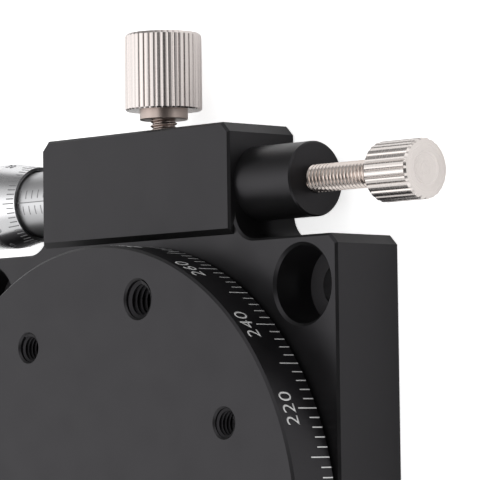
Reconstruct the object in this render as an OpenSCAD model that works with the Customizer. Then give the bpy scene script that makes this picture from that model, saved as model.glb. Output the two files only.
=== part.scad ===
// Rotation stage, 60 mm, with a micrometer fine drive and a full-turn coarse table.
// The stage lies on its base: Z is the turning axis, and the drive block points to +Y.
// Units are millimetres. The origin is the middle of the base's bottom face.

/* [Base] */
// Width and depth of the square base
base_w = 60; // [58:1:70]
// Thickness of the base
base_h = 9; // [8.8:0.1:10]
// Thickness of the base's floor under the mechanism
floor_t = 2.2; // [1.8:0.1:2.4]
// Chamfer on the upright corners of the base and the block
corner_chamfer = 1; // [0.5:0.1:2]
// Distance from the base's edge to a corner screw hole's axis
hole_edge = 5; // [4.6:0.1:5.6]
// Diameter of a corner screw hole
hole_d = 4.5; // [4:0.1:5]
// Diameter of its counterbore
cbore_d = 8; // [7.5:0.1:8.6]
// Depth of its counterbore
cbore_depth = 5.2; // [4:0.1:6]
// Chamfer on the mouth of a counterbore
cbore_chamfer = 0.3; // [0.1:0.05:0.4]
// Chamfer that breaks the edges of the base and the block
edge_break = 0.25; // [0.1:0.05:0.4]

/* [Drive block] */
// Width of the block that carries the micrometer
block_w = 30; // [28:1:36]
// Distance from the base's edge to the drive axis
drive_out = 6; // [5.5:0.1:6.8]
// Distance from the drive axis to the block's top face
block_wall = 6.3; // [5.8:0.1:8]
// Height of the block's front pad above the base
pad_h = 0.6; // [0.2:0.1:1.2]
// Gap between the base's edge and the pad's bevel
pad_inset = 0.6; // [0.3:0.1:2]
// Radius of the fillets where the block meets the base
root_r = 3; // [1:0.5:4]
// Height of the drive axis above the base's bottom
axis_z = 5; // [4.9:0.1:5.2]

/* [Table] */
// Distance from the base's edge to the table's rim
table_inset = 0; // [0:0.1:1]
// Height of the table's face above the base's bottom
table_top = 15; // [14.6:0.1:17]
// Gap between the table's rim and the base
table_gap = 0.3; // [0.2:0.1:0.6]
// Angle that the table stands at, clockwise from its drive side
table_turn = 15.5; // [-180:0.5:180]
// Distance from the table's rim to a large tapped hole's axis
large_tap_edge = 5; // [4:0.1:6]
// Diameter of a large tapped hole
large_tap_d = 4; // [3:0.5:5]
// Pitch circle of the four small tapped holes
small_tap_pcd = 45; // [44:0.5:46]
// Diameter of a small tapped hole
small_tap_d = 3; // [2:0.5:3.5]
// Chamfer on the mouth of a tapped hole
tap_chamfer = 0.2; // [0.05:0.05:0.3]
// Diameter of the bore through the middle of the table
centre_bore_d = 8; // [5:0.5:8.5]
// Wall of the hub outside the bearing
hub_wall = 4; // [3.6:0.1:4.5]
// Chamfer on the table's upper edge
rim_chamfer = 0.25; // [0.1:0.05:0.5]

/* [Bearing] */
// Outer diameter of the ball bearing
bearing_od = 32; // [31.5:0.5:33]
// Radial thickness of the ball bearing
bearing_section = 6; // [5.8:0.1:6.3]
// Width of the ball bearing
bearing_w = 7; // [6.6:0.1:7]
// Diameter of a ball
ball_d = 3.5; // [3:0.1:3.8]
// Number of balls
ball_count = 14; // [8:1:15]
// Height of the bearing's lower face above the base's bottom
bearing_z = 3.8; // [3.7:0.1:3.9]
// Thickness of the cap that clamps the inner race
cap_t = 1; // [0.8:0.1:1.1]
// Diameter of a cap screw
cap_screw_d = 2; // [1.6:0.2:2.2]
// Thickness of the ring that holds the outer race
race_ring_t = 0.7; // [0.5:0.1:0.7]

/* [Lever] */
// Width of the lever's arm
lever_w = 7; // [6:0.1:8]
// Thickness of the lever
lever_t = 5; // [4.6:0.1:5]
// Radial wall of the lever's ring
lever_wall = 4.2; // [3:0.1:4.3]
// Depth of the lever's tip below the block's top face
tip_gap = 1.1; // [0.8:0.1:2]
// Fine travel of the lever to each side, in degrees
fine_range = 5; // [1:0.5:5]
// Height of a contact button above the arm
button_out = 0.5; // [0.3:0.1:0.7]
// Diameter of a contact button
button_d = 3; // [2:0.1:3.4]

/* [Lock screw] */
// Diameter of the lock screw and of the preload screw
screw_d = 2.9; // [2:0.1:2.9]
// Diameter of the lock knob
lock_knob_d = 8.3; // [7:0.1:10]
// Length of the lock knob
lock_knob_len = 8.3; // [6:0.1:12]
// Number of flutes on the lock knob
lock_flutes = 40; // [24:1:44]
// Diameter of the collar under the lock knob
lock_collar_d = 5.2; // [4:0.1:6]
// Length of that collar
lock_collar_len = 1; // [0.5:0.1:2]
// Gap between the block and that collar
lock_gap = 1.5; // [1.2:0.1:2]
// Length of the brass lock pad
lock_pad_len = 2.7; // [2:0.1:3.5]

/* [Micrometer] */
// Diameter of the thimble
thimble_d = 9.5; // [9.2:0.1:10]
// Length of the thimble
thimble_len = 21.35; // [20:0.05:26]
// Length of the bevel on the thimble's reading end
thimble_bevel = 4.2; // [2:0.1:6]
// Diameter of the sleeve
sleeve_d = 7.2; // [6.6:0.1:7.4]
// Distance from the block to the sleeve's zero line
sleeve_zero = 1; // [0.5:0.1:1.5]
// Reading of the micrometer as it stands, in millimetres
reading = 4.4; // [4:0.05:6]
// Length of the sleeve
sleeve_len = 21; // [20:0.5:21.5]
// Diameter of the stem in the block
stem_d = 6; // [5.6:0.1:6.2]
// Diameter of the spindle
spindle_d = 3.5; // [3:0.1:3.8]

/* [Spring plunger] */
// Diameter of the plunger's housing
housing_d = 7.8; // [7:0.1:8.6]
// Length of the housing outside the block
housing_len = 8.2; // [7.8:0.1:10]
// Wall at the housing's outer end
housing_end_t = 1.3; // [1:0.1:1.5]
// Diameter of the plunger
plunger_d = 4.3; // [4:0.1:4.5]
// Length of the plunger
plunger_len = 9.3; // [8.8:0.1:9.4]
// Diameter of the spring's wire
wire_d = 0.45; // [0.3:0.05:0.5]
// Number of the spring's turns
spring_turns = 8; // [4:1:9]
// Diameter of the preload knob
preload_knob_d = 6.2; // [5:0.1:8]
// Length of the preload knob
preload_knob_len = 5.8; // [4:0.1:9]
// Number of flutes on the preload knob
preload_flutes = 24; // [16:1:30]
// Length of the preload screw that shows
preload_gap = 9.8; // [4:0.1:12]

/* [Hidden] */
$fn = 96;
eps = 0.01;               // overrun of a cut
slide_fit = 0.05;         // radial clearance of a running fit
contact_gap = 0.05;       // gap between two faces that push on each other
face_gap = 0.3;           // gap between moving faces that never touch
seat_gap = 0.3;           // gap between a pad and what it clamps
end_break = 0.15;         // chamfer on the ends of turned pieces
race_overlap = 1.55;      // how far a shoulder covers a race
groove_depth = 0.8;       // depth of the balls' groove in a race
cage_rim = 0.5;           // of the cage beside a ball
cap_pinch = 0.1;          // gap under the cap, so that it clamps the race
cap_room = 0.7;           // height over the cap
cap_screw_len = 4;        // of a cap screw, below the cap
cap_hex_d = 1.2;
cap_hex_depth = 0.6;
bore_step = 0.5;          // how much wider the post's bore is than the table's
ring_bite = 0.75;         // depth of the race ring in its groove
ring_width = 1.95;
ring_opening = 3;
collar_step = 1.5;        // of the table's collar round the hub
drill_past = 1;           // depth of a tapped hole below the rim's underside
pocket_room = 1;          // gap round the lever's ring
slot_room = 0.5;          // gap beside the arm at the end of its travel
tip_chamfer = 0.8;        // on the lever's tip
button_web = 0.6;         // between the lock screw and a button
button_dome = 0.4;        // height of a button's dome
set_screw_sink = 0.4;     // depth of the grub screw below the block's top
grub_hex_d = 1.45;
grub_hex_depth = 1.2;
thimble_gap = 0.15;       // gap between the sleeve and the thimble
thimble_lip = 0.35;       // thickness of the thimble's reading edge
lip_break = 0.05;         // chamfer on that edge, inside
thimble_end_t = 1.6;      // end wall of the thimble
thimble_edge = 0.4;       // chamfer on the thimble's far end
thimble_cap_len = 1.8;
thimble_hex_d = 1.8;
cap_step = 0.7;           // how much smaller the cap is than the thimble
cap_edge = 0.5;           // chamfer on the cap
mic_nut_len = 3;
nut_wall = 0.6;
nut_slit_w = 0.6;
nut_slit_depth = 1.2;
spindle_tail = 0.6;       // of the spindle, past the thimble
plunger_wall = 0.55;
plunger_floor = 2;        // solid nose of the plunger
plunger_edge = 0.5;       // chamfer on the plunger's nose
seat_t = 1.2;
seat_room = 0.75;         // gap between the spring seat and the housing's end wall
nose_len = 1;             // of the seat's nose in the spring
knob_bite = 5;            // depth of the lock screw in its knob
preload_bite = 4;         // depth of the preload screw in its knob
flute_depth = 0.18;       // on the knobs

lever_z = axis_z - lever_t / 2;                   // underside of the lever
slot_z0 = lever_z - face_gap;
slot_z1 = lever_z + lever_t + face_gap;
hub_r = bearing_od / 2 + hub_wall;                // outside of the table's hub
lever_in_r = hub_r + slide_fit;
lever_out_r = lever_in_r + lever_wall;
pocket_r = lever_out_r + pocket_room;
block_x = block_w / 2;
drive_r = base_w / 2 + drive_out;                 // turning axis to drive axis
block_y = drive_r + block_wall;                   // top face of the block
lever_tip = block_y - tip_gap;
slot_half = lever_w / 2 + lever_tip * sin(fine_range) + slot_room;
hole_pitch = base_w - 2 * hole_edge;
table_d = base_w - 2 * table_inset;
large_tap_pcd = table_d - 2 * large_tap_edge;
bearing_bore = bearing_od - 2 * bearing_section;
pad_top = base_h + pad_h;
post_r = bearing_bore / 2;
post_bore_r = centre_bore_d / 2 + bore_step;
shoulder_r = post_r + race_overlap;               // shoulder under the inner race
bearing_top = bearing_z + bearing_w;
ball_ring_r = (bearing_bore + bearing_od) / 4;    // pitch radius of the balls
groove_r = ball_d / 2 + slide_fit;
race_land = ball_d / 2 - groove_depth;            // half gap between the races' lands
recess_top = bearing_top + cap_t + cap_room;      // ceiling of the table's recess
lip_r = bearing_od / 2 - race_overlap;            // shoulder over the outer race
table_z = base_h + table_gap;                     // underside of the table's rim
cap_screw_ring = (post_bore_r + post_r) / 2;      // ring of the cap screws
cap_head_d = cap_screw_d * 1.8;
cap_head_h = (cap_head_d - cap_screw_d) / 2;
contact_x = lever_w / 2 + button_out;             // crown of a contact button
lock_y = block_y + lock_gap;                      // underside of the lock collar
pad_y = hub_r + seat_gap;                         // inner end of the lock pad
sleeve_bore_r = spindle_d / 2 + slide_fit;
thimble_x = block_x + sleeve_zero + reading;      // reading edge, towards -X
thimble_in_r = sleeve_d / 2 + thimble_gap;
set_screw_x = (block_x + slot_half) / 2;          // grub screw over the micrometer's stem
button_seat = screw_d / 2 + button_web;           // inner face of a contact button
nut_in_r = sleeve_d / 2 - nut_wall;
spindle_end = thimble_x + thimble_len + spindle_tail;
housing_out = block_x + housing_len;
housing_in = slot_half + face_gap;
housing_bore_r = plunger_d / 2 + slide_fit;
plunger_x = contact_x + contact_gap;
spring_x0 = plunger_x + plunger_floor;
seat_x = housing_out - housing_end_t - seat_room - seat_t;
spring_r = plunger_d / 2 - plunger_wall - 2 * slide_fit - wire_d / 2;
preload_x = housing_out + preload_gap;            // inner face of the preload knob

black = [0.09, 0.09, 0.1];
nickel = [0.78, 0.75, 0.73];
satin = [0.8, 0.8, 0.81];
steel = [0.6, 0.61, 0.63];
brass = [0.8, 0.62, 0.3];

// Places its children with their Z axis along +X, on the drive axis
module along_x(x) { translate([x, drive_r, axis_z]) rotate([0, 90, 0]) children(); }
// The same along -X
module along_minus_x(x) { translate([-x, drive_r, axis_z]) rotate([0, -90, 0]) children(); }
// Places its children with their Z axis along +Y, over the lever's arm
module along_y(y) { translate([0, y, axis_z]) rotate([-90, 0, 0]) children(); }

// Bars that break the edges of an outline lying at height z, from edge number first onwards
module edge_bars(points, z, first = 0) {
    n = len(points);
    for (i = [first : n - 1]) let (p = points[i], q = points[(i + 1) % n], d = q - p)
        translate([(p[0] + q[0]) / 2, (p[1] + q[1]) / 2, z]) rotate([0, 0, atan2(d[1], d[0])])
            rotate([45, 0, 0]) cube([norm(d) + edge_break, edge_break * sqrt(2),
                                     edge_break * sqrt(2)], center = true);
}

// Square plate of the base, with its upright corners chamfered
module base_plate() {
    h = base_w / 2;
    c = corner_chamfer;
    points = [[-h, -h + c], [-h + c, -h], [h - c, -h], [h, -h + c],
              [h, h - c], [h - c, h], [-h + c, h], [-h, h - c]];
    difference() {
        linear_extrude(base_h) polygon(points);
        edge_bars(points, 0);
        edge_bars(points, base_h);
    }
}

// Drive block, from the middle of the base out, with a raised pad behind a bevel
module drive_block() {
    c = corner_chamfer;
    y0 = base_w / 2 + pad_inset;
    points = [[-block_x, 0], [block_x, 0], [block_x, block_y - c],
              [block_x - c, block_y], [-block_x + c, block_y], [-block_x, block_y - c]];
    difference() {
        intersection() {
            linear_extrude(pad_top) polygon(points);
            translate([-block_x, 0, 0]) rotate([90, 0, 90]) linear_extrude(block_w)
                polygon([[0, 0], [block_y, 0], [block_y, pad_top], [y0 + pad_h, pad_top],
                         [y0, base_h], [0, base_h]]);
        }
        edge_bars(points, 0, 1);
        edge_bars(points, pad_top, 1);
    }
}

// Round fillet on the right, where the block leaves the plate
module root_fillet() {
    b = edge_break;
    h = base_w / 2;
    difference() {
        translate([block_x - b, h - b, 0]) cube([root_r + b, root_r + b, base_h]);
        translate([block_x + root_r, h + root_r, -eps]) {
            cylinder(r = root_r, h = base_h + 2 * eps);
            cylinder(r1 = root_r + b + eps, r2 = root_r, h = b + eps);
            translate([0, 0, base_h - b + eps]) cylinder(r1 = root_r, r2 = root_r + b + eps, h = b + eps);
        }
    }
}

// A corner screw's hole, counterbore and chamfer, from the floor up
module corner_hole() {
    translate([0, 0, -eps]) cylinder(d = hole_d, h = base_h + 2 * eps);
    translate([0, 0, base_h - cbore_depth]) cylinder(d = cbore_d, h = cbore_depth + eps);
    translate([0, 0, base_h - cbore_chamfer])
        cylinder(d1 = cbore_d, d2 = cbore_d + 2 * cbore_chamfer + 2 * eps, h = cbore_chamfer + eps);
}

module base() {
    color(black) {
        difference() {
            union() {
                base_plate();
                drive_block();
                root_fillet();
                mirror([1, 0, 0]) root_fillet();
            }
            // pocket for the lever and the hub
            translate([0, 0, floor_t]) cylinder(r = pocket_r, h = base_h);
            // slot that the lever's arm swings in, open at the block's top
            translate([-slot_half, 0, slot_z0])
                cube([2 * slot_half, block_y + eps, slot_z1 - slot_z0]);
            translate([0, 0, -eps]) cylinder(r = post_bore_r, h = floor_t + 2 * eps);
            for (x = [-1, 1], y = [-1, 1])
                translate([x * hole_pitch / 2, y * hole_pitch / 2, 0]) corner_hole();
            for (s = [0, 180]) along_x(0) rotate([0, s, 0]) translate([0, 0, slot_half - eps])
                cylinder(d = stem_d, h = block_x - slot_half + 2 * eps);
            // hole for the set screw that holds the micrometer's stem
            translate([-set_screw_x, drive_r, axis_z]) rotate([-90, 0, 0])
                cylinder(d = screw_d + 2 * slide_fit, h = block_wall + eps);
        }
        bearing_post();
    }
}

// Hollow post in the middle of the base, which carries the inner race
module bearing_post() {
    difference() {
        rotate_extrude() polygon([[post_bore_r, floor_t / 2], [shoulder_r, floor_t / 2],
            [shoulder_r, bearing_z], [post_r, bearing_z], [post_r, bearing_top - cap_pinch],
            [post_bore_r, bearing_top - cap_pinch]]);
        translate([0, 0, bearing_top - cap_screw_len - face_gap]) at_cap_screws()
            cylinder(r = cap_screw_d / 2 + slide_fit, h = cap_screw_len + 2 * face_gap);
    }
}

// Turned profile of the table and its hub
module table_profile() {
    r = table_d / 2;
    collar_r = hub_r + collar_step;
    collar_z = slot_z1;
    groove_r_out = bearing_od / 2 + ring_bite + slide_fit;
    hub_z = lever_z;
    polygon([[centre_bore_d / 2, table_top], [r - rim_chamfer, table_top],
        [r, table_top - rim_chamfer], [r, table_z + end_break], [r - end_break, table_z],
        [collar_r, table_z], [collar_r, collar_z], [hub_r, collar_z], [hub_r, hub_z],
        [bearing_od / 2, hub_z], [bearing_od / 2, bearing_z - race_ring_t],
        [groove_r_out, bearing_z - race_ring_t], [groove_r_out, bearing_z],
        [bearing_od / 2, bearing_z], [bearing_od / 2, bearing_top], [lip_r, bearing_top],
        [lip_r, recess_top], [centre_bore_d / 2, recess_top]]);
}

// A tapped hole with its mouth chamfer, cut down from the table's face
module tap_hole(d) {
    translate([0, 0, table_z - drill_past])
        cylinder(d = d, h = table_top - table_z + drill_past + eps);
    translate([0, 0, table_top - tap_chamfer])
        cylinder(d1 = d, d2 = d + 2 * tap_chamfer + 2 * eps, h = tap_chamfer + eps);
}

module table() {
    color(black) rotate([0, 0, 90 - table_turn]) difference() {
        rotate_extrude() table_profile();
        for (a = [0 : 90 : 270]) rotate([0, 0, a]) {
            translate([large_tap_pcd / 2, 0, 0]) tap_hole(large_tap_d);
            rotate([0, 0, 45]) translate([small_tap_pcd / 2, 0, 0]) tap_hole(small_tap_d);
        }
    }
}

module lever() {
    color(steel) difference() {
        union() {
            translate([0, 0, lever_z]) cylinder(r = lever_out_r, h = lever_t);
            translate([0, 0, lever_z]) linear_extrude(lever_t)
                polygon([[-lever_w / 2, lever_in_r + lever_wall / 2],
                         [lever_w / 2, lever_in_r + lever_wall / 2],
                         [lever_w / 2, lever_tip - tip_chamfer],
                         [lever_w / 2 - tip_chamfer, lever_tip],
                         [-lever_w / 2 + tip_chamfer, lever_tip],
                         [-lever_w / 2, lever_tip - tip_chamfer]]);
        }
        translate([0, 0, lever_z - eps]) cylinder(r = lever_in_r, h = lever_t + 2 * eps);
        along_y(hub_r - screw_d) cylinder(d = screw_d + 2 * slide_fit, h = lever_tip);
        for (s = [0, 180]) along_x(0) rotate([0, s, 0])
            translate([0, 0, button_seat]) cylinder(d = button_d, h = lever_w);
    }
}

// Two hardened buttons, domed where the spindle and the plunger push
module contact_buttons() {
    color(satin) for (s = [0, 180]) along_x(0) rotate([0, s, 0]) rotate_extrude()
        polygon([[0, button_seat], [button_d / 2, button_seat],
                 for (a = [0 : 5 : 90]) [button_d / 2 * cos(a),
                                        contact_x - button_dome * (1 - sin(a))]]);
}

// One race's section, on the side given by s (1 outside, -1 inside)
module race(r_far, s) {
    land = ball_ring_r + s * race_land;
    color(satin) translate([0, 0, bearing_z]) rotate_extrude() difference() {
        translate([min(land, r_far), 0]) square([abs(r_far - land), bearing_w]);
        translate([ball_ring_r, bearing_w / 2]) circle(r = groove_r);
    }
}
module bearing_inner_race() { race(bearing_bore / 2, -1); }
module bearing_outer_race() { race(bearing_od / 2, 1); }

module bearing_balls() {
    color(satin) for (i = [0 : ball_count - 1]) rotate([0, 0, i * 360 / ball_count])
        translate([ball_ring_r, 0, bearing_z + bearing_w / 2]) sphere(d = ball_d, $fn = 48);
}

module bearing_cage() {
    cage_r = race_land - 4 * slide_fit;
    cage_h = ball_d + 2 * cage_rim;
    color(brass) translate([0, 0, bearing_z + bearing_w / 2]) difference() {
        translate([0, 0, -cage_h / 2]) rotate_extrude()
            translate([ball_ring_r - cage_r, 0]) square([2 * cage_r, cage_h]);
        for (i = [0 : ball_count - 1]) rotate([0, 0, i * 360 / ball_count])
            rotate([0, 90, 0]) cylinder(r = groove_r, h = bearing_od / 2);
    }
}

// Places its children at the cap's three screws
module at_cap_screws() {
    for (a = [90, 210, 330]) rotate([0, 0, a]) translate([cap_screw_ring, 0, 0]) children();
}

module bearing_cap() {
    color(steel) translate([0, 0, bearing_top]) difference() {
        cylinder(r = shoulder_r, h = cap_t);
        translate([0, 0, -eps]) cylinder(r = post_bore_r, h = cap_t + 2 * eps);
        at_cap_screws() {
            translate([0, 0, -eps]) cylinder(r = cap_screw_d / 2 + slide_fit, h = cap_t);
            translate([0, 0, cap_t - cap_head_h])
                cylinder(d1 = cap_screw_d, d2 = cap_head_d, h = cap_head_h);
            translate([0, 0, cap_t - eps]) cylinder(d = cap_head_d, h = 2 * eps);
        }
    }
}

// Countersunk screws that hold the cap, each with a hexagon socket
module cap_screws() {
    color(satin) translate([0, 0, bearing_top]) at_cap_screws() difference() {
        union() {
            translate([0, 0, -cap_screw_len]) cylinder(d = cap_screw_d, h = cap_screw_len + cap_t / 2);
            translate([0, 0, cap_t - cap_head_h])
                cylinder(d1 = cap_screw_d, d2 = cap_head_d, h = cap_head_h);
        }
        translate([0, 0, cap_t - cap_hex_depth])
            cylinder(d = cap_hex_d, h = cap_hex_depth + eps, $fn = 6);
    }
}

// Snap ring under the outer race, with a gap between its two eyes
module race_ring() {
    ring_out = bearing_od / 2 + ring_bite;
    color(steel) translate([0, 0, bearing_z - race_ring_t]) difference() {
        cylinder(r = ring_out, h = race_ring_t - 2 * eps);
        translate([0, 0, -eps]) cylinder(r = ring_out - ring_width, h = race_ring_t + 2 * eps);
        translate([0, -ring_opening / 2, -eps])
            cube([ring_out + eps, ring_opening, race_ring_t + 2 * eps]);
    }
}

// Brass pad that the lock screw presses on the hub, hollowed to the hub's round
module lock_pad() {
    color(brass) difference() {
        along_y(hub_r) cylinder(d = screw_d, h = seat_gap + lock_pad_len);
        translate([0, 0, lever_z]) cylinder(r = pad_y, h = lever_t);
    }
}

module lock_screw() {
    y0 = pad_y + lock_pad_len + contact_gap;
    color(nickel) along_y(y0) cylinder(d = screw_d, h = lock_y + lock_collar_len + knob_bite - y0);
}

// A knob's body, fluted along its length, with its inner face at z = 0
module fluted_knob(d, len, flutes, edge) {
    flute_r = PI * d / flutes * 0.36;
    difference() {
        rotate_extrude() polygon([[0, 0], [d / 2 - edge / 2, 0], [d / 2, edge / 2],
            [d / 2, len - edge], [d / 2 - edge, len], [0, len]]);
        for (i = [0 : flutes - 1]) rotate([0, 0, i * 360 / flutes])
            translate([d / 2 + flute_r - flute_depth, 0, -1])
                cylinder(r = flute_r, h = len + 2, $fn = 24);
    }
}

module lock_knob() {
    color(nickel) along_y(lock_y) difference() {
        union() {
            cylinder(d = lock_collar_d, h = lock_collar_len + eps);
            translate([0, 0, lock_collar_len])
                fluted_knob(lock_knob_d, lock_knob_len, lock_flutes, 0.3);
        }
        translate([0, 0, -eps]) cylinder(d = screw_d, h = lock_collar_len + knob_bite + eps);
    }
}

// Stem and sleeve of the micrometer; the stem sits in the block
module mic_sleeve() {
    s0 = housing_in;
    s1 = block_x + sleeve_len;
    color(satin) along_minus_x(0) rotate_extrude() polygon([[sleeve_bore_r, s0],
        [stem_d / 2 - end_break, s0], [stem_d / 2, s0 + end_break], [stem_d / 2, block_x],
        [sleeve_d / 2, block_x], [sleeve_d / 2, s1 - mic_nut_len],
        [nut_in_r, s1 - mic_nut_len], [nut_in_r, s1], [sleeve_bore_r, s1]]);
}

// Slit nut that takes up play on the sleeve's far end
module mic_nut() {
    s1 = block_x + sleeve_len;
    color(brass) along_minus_x(s1 - mic_nut_len) difference() {
        cylinder(d = sleeve_d - 2 * slide_fit, h = mic_nut_len);
        translate([0, 0, -eps]) cylinder(r = nut_in_r, h = mic_nut_len + 2 * eps);
        translate([-nut_slit_w / 2, 0, mic_nut_len - nut_slit_depth])
            cube([nut_slit_w, sleeve_d, nut_slit_depth + eps]);
    }
}

// Grub screw in the block's top that holds the stem
module mic_set_screw() {
    y0 = drive_r + stem_d / 2;
    len = block_y - set_screw_sink - y0;
    color(black) translate([-set_screw_x, 0, 0]) along_y(y0) difference() {
        cylinder(d = screw_d, h = len);
        translate([0, 0, len - grub_hex_depth])
            cylinder(d = grub_hex_d, h = grub_hex_depth + eps, $fn = 6);
    }
}

module mic_spindle() {
    s0 = contact_x + contact_gap;
    color(satin) along_minus_x(0) rotate_extrude() polygon([[0, s0],
        [spindle_d / 2 - end_break, s0], [spindle_d / 2, s0 + end_break],
        [spindle_d / 2, spindle_end], [0, spindle_end]]);
}

// Thimble, open at its bevelled reading end and closed round the spindle
module mic_thimble() {
    s0 = thimble_x;
    s1 = thimble_x + thimble_len;
    r = thimble_d / 2;
    color(satin) along_minus_x(0) rotate_extrude() polygon([[thimble_in_r, s0 + lip_break],
        [thimble_in_r + lip_break, s0], [thimble_in_r + thimble_lip, s0], [r, s0 + thimble_bevel],
        [r, s1 - thimble_edge], [r - thimble_edge, s1], [sleeve_bore_r, s1],
        [sleeve_bore_r, s1 - thimble_end_t],
        [thimble_in_r, s1 - thimble_end_t]]);
}

module thimble_cap() {
    r = thimble_d / 2 - cap_step;
    len = thimble_cap_len;
    color(satin) along_minus_x(thimble_x + thimble_len) difference() {
        rotate_extrude()
            polygon([[0, 0], [r, 0], [r, len - cap_edge], [r - cap_edge, len], [0, len]]);
        translate([0, 0, -eps]) cylinder(r = sleeve_bore_r, h = spindle_tail + face_gap);
        translate([0, 0, len - cap_hex_depth])
            cylinder(d = thimble_hex_d, h = cap_hex_depth + eps, $fn = 6);
    }
}

module plunger_housing() {
    bore_end = housing_out - housing_end_t;
    color(black) along_x(0) rotate_extrude() polygon([[housing_bore_r, housing_in],
        [stem_d / 2 - end_break, housing_in], [stem_d / 2, housing_in + end_break],
        [stem_d / 2, block_x], [housing_d / 2, block_x], [housing_d / 2, housing_out - end_break],
        [housing_d / 2 - end_break, housing_out], [screw_d / 2 + slide_fit, housing_out],
        [screw_d / 2 + slide_fit, bore_end], [housing_bore_r, bore_end]]);
}

// Hollow plunger that pushes the lever back on the spindle
module plunger() {
    r = plunger_d / 2;
    color(steel) along_x(plunger_x) rotate_extrude() polygon([[0, 0], [r - plunger_edge, 0],
        [r, plunger_edge], [r, plunger_len], [r - plunger_wall, plunger_len],
        [r - plunger_wall, plunger_floor], [0, plunger_floor]]);
}

// Coil spring between the plunger and its seat
module plunger_spring() {
    sides = 8;
    steps = 12;
    rings = spring_turns * steps;
    x0 = spring_x0 + wire_d / 2 + slide_fit;
    x1 = seat_x - wire_d / 2 - slide_fit;
    points = [for (k = [0 : rings], j = [0 : sides - 1])
        let (a = k * 360 / steps, b = j * 360 / sides, r = spring_r + wire_d / 2 * cos(b))
        [r * cos(a), r * sin(a), x0 + (x1 - x0) * k / rings + wire_d / 2 * sin(b)]];
    walls = [for (k = [0 : rings - 1], j = [0 : sides - 1]) let (n = (j + 1) % sides)
        [k * sides + j, (k + 1) * sides + j, (k + 1) * sides + n, k * sides + n]];
    first = [for (j = [0 : sides - 1]) j];
    last = [for (j = [sides - 1 : -1 : 0]) rings * sides + j];
    color(steel) along_x(0) polyhedron(points, concat(walls, [first, last]));
}

// Seat that the preload screw pushes, with a nose inside the spring
module spring_seat() {
    nose_r = spring_r - wire_d / 2 - 3 * slide_fit;
    color(brass) along_x(seat_x) rotate_extrude() polygon([[0, -nose_len], [nose_r, -nose_len],
        [nose_r, 0],
        [plunger_d / 2, 0], [plunger_d / 2, seat_t], [0, seat_t]]);
}

module preload_screw() {
    x0 = seat_x + seat_t + contact_gap;
    color(nickel) along_x(x0) cylinder(d = screw_d, h = preload_x + preload_bite - x0);
}

module preload_knob() {
    color(nickel) along_x(preload_x) difference() {
        fluted_knob(preload_knob_d, preload_knob_len, preload_flutes, 0.2);
        translate([0, 0, -eps]) cylinder(d = screw_d, h = preload_bite + eps);
    }
}

base();
table();
lever();
contact_buttons();
bearing_inner_race();
bearing_outer_race();
bearing_balls();
bearing_cage();
bearing_cap();
cap_screws();
race_ring();
lock_pad();
lock_screw();
lock_knob();
mic_sleeve();
mic_nut();
mic_set_screw();
mic_spindle();
mic_thimble();
thimble_cap();
plunger_housing();
plunger();
plunger_spring();
spring_seat();
preload_screw();
preload_knob();
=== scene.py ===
import math

import bmesh
import bpy
from mathutils import Matrix, Vector


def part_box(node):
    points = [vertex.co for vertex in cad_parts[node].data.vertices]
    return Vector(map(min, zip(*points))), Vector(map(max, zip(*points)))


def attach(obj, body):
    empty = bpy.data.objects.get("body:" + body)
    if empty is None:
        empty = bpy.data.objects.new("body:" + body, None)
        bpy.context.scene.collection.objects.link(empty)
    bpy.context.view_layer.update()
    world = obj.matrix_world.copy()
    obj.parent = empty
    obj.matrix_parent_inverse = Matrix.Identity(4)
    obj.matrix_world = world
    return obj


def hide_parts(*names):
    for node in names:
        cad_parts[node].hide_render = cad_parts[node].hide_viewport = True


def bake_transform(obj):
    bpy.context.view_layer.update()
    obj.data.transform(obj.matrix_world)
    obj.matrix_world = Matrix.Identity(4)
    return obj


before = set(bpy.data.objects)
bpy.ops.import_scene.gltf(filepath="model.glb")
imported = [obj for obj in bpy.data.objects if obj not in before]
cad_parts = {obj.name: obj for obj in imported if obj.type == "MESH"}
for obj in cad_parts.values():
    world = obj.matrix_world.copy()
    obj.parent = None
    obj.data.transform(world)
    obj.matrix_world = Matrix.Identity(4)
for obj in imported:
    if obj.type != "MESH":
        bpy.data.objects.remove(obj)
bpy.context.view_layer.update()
print("frame loaded")

mm = 0.001
driveY = 36 * mm  # the line of the micrometer and the spring plunger
driveZ = 5 * mm
tableTurn = 74.5  # degrees that the table's holes and scale are turned at rest
lineProud = 0.006 * mm  # how far painted lines and numerals stand out
lineThick = 4 * lineProud
tiny = 1e-6  # metres, for telling one height from another


# helpers for selecting, placing and joining
def deselectAll():
    if bpy.context.mode != "OBJECT":
        bpy.ops.object.mode_set(mode="OBJECT")
    bpy.ops.object.select_all(action="DESELECT")


def pickOnly(piece):
    deselectAll()
    piece.select_set(True)
    bpy.context.view_layer.objects.active = piece


def startEdit(piece):
    pickOnly(piece)
    bpy.ops.object.mode_set(mode="EDIT")
    bpy.ops.mesh.select_mode(type="VERT")


def endEdit():
    bpy.ops.object.mode_set(mode="OBJECT")


def pickAll():
    bpy.ops.mesh.select_all(action="SELECT")


def pickNone():
    work = bmesh.from_edit_mesh(bpy.context.edit_object.data)
    for vert in work.verts:
        vert.select = False
    work.select_flush(False)
    return work


def pickVerts(test):
    work = pickNone()
    for vert in work.verts:
        vert.select = test(vert.co)
    work.select_flush(True)
    bmesh.update_edit_mesh(bpy.context.edit_object.data)


def pickFaces(test):
    work = pickNone()
    for face in work.faces:
        if test(face.calc_center_median(), face.normal):
            face.select_set(True)
    bmesh.update_edit_mesh(bpy.context.edit_object.data)


def pickFlat(height):
    # the level faces at one height
    pickFaces(lambda centre, normal: abs(centre.z - height) < tiny and abs(normal.z) > 0.9)


def pickRing(height, step, every, phase):
    # at one height, one point in every few round Z
    pickVerts(lambda co: abs(co.z - height) < tiny and
              round(math.atan2(co.x, co.y) / step) % every == phase)


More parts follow.
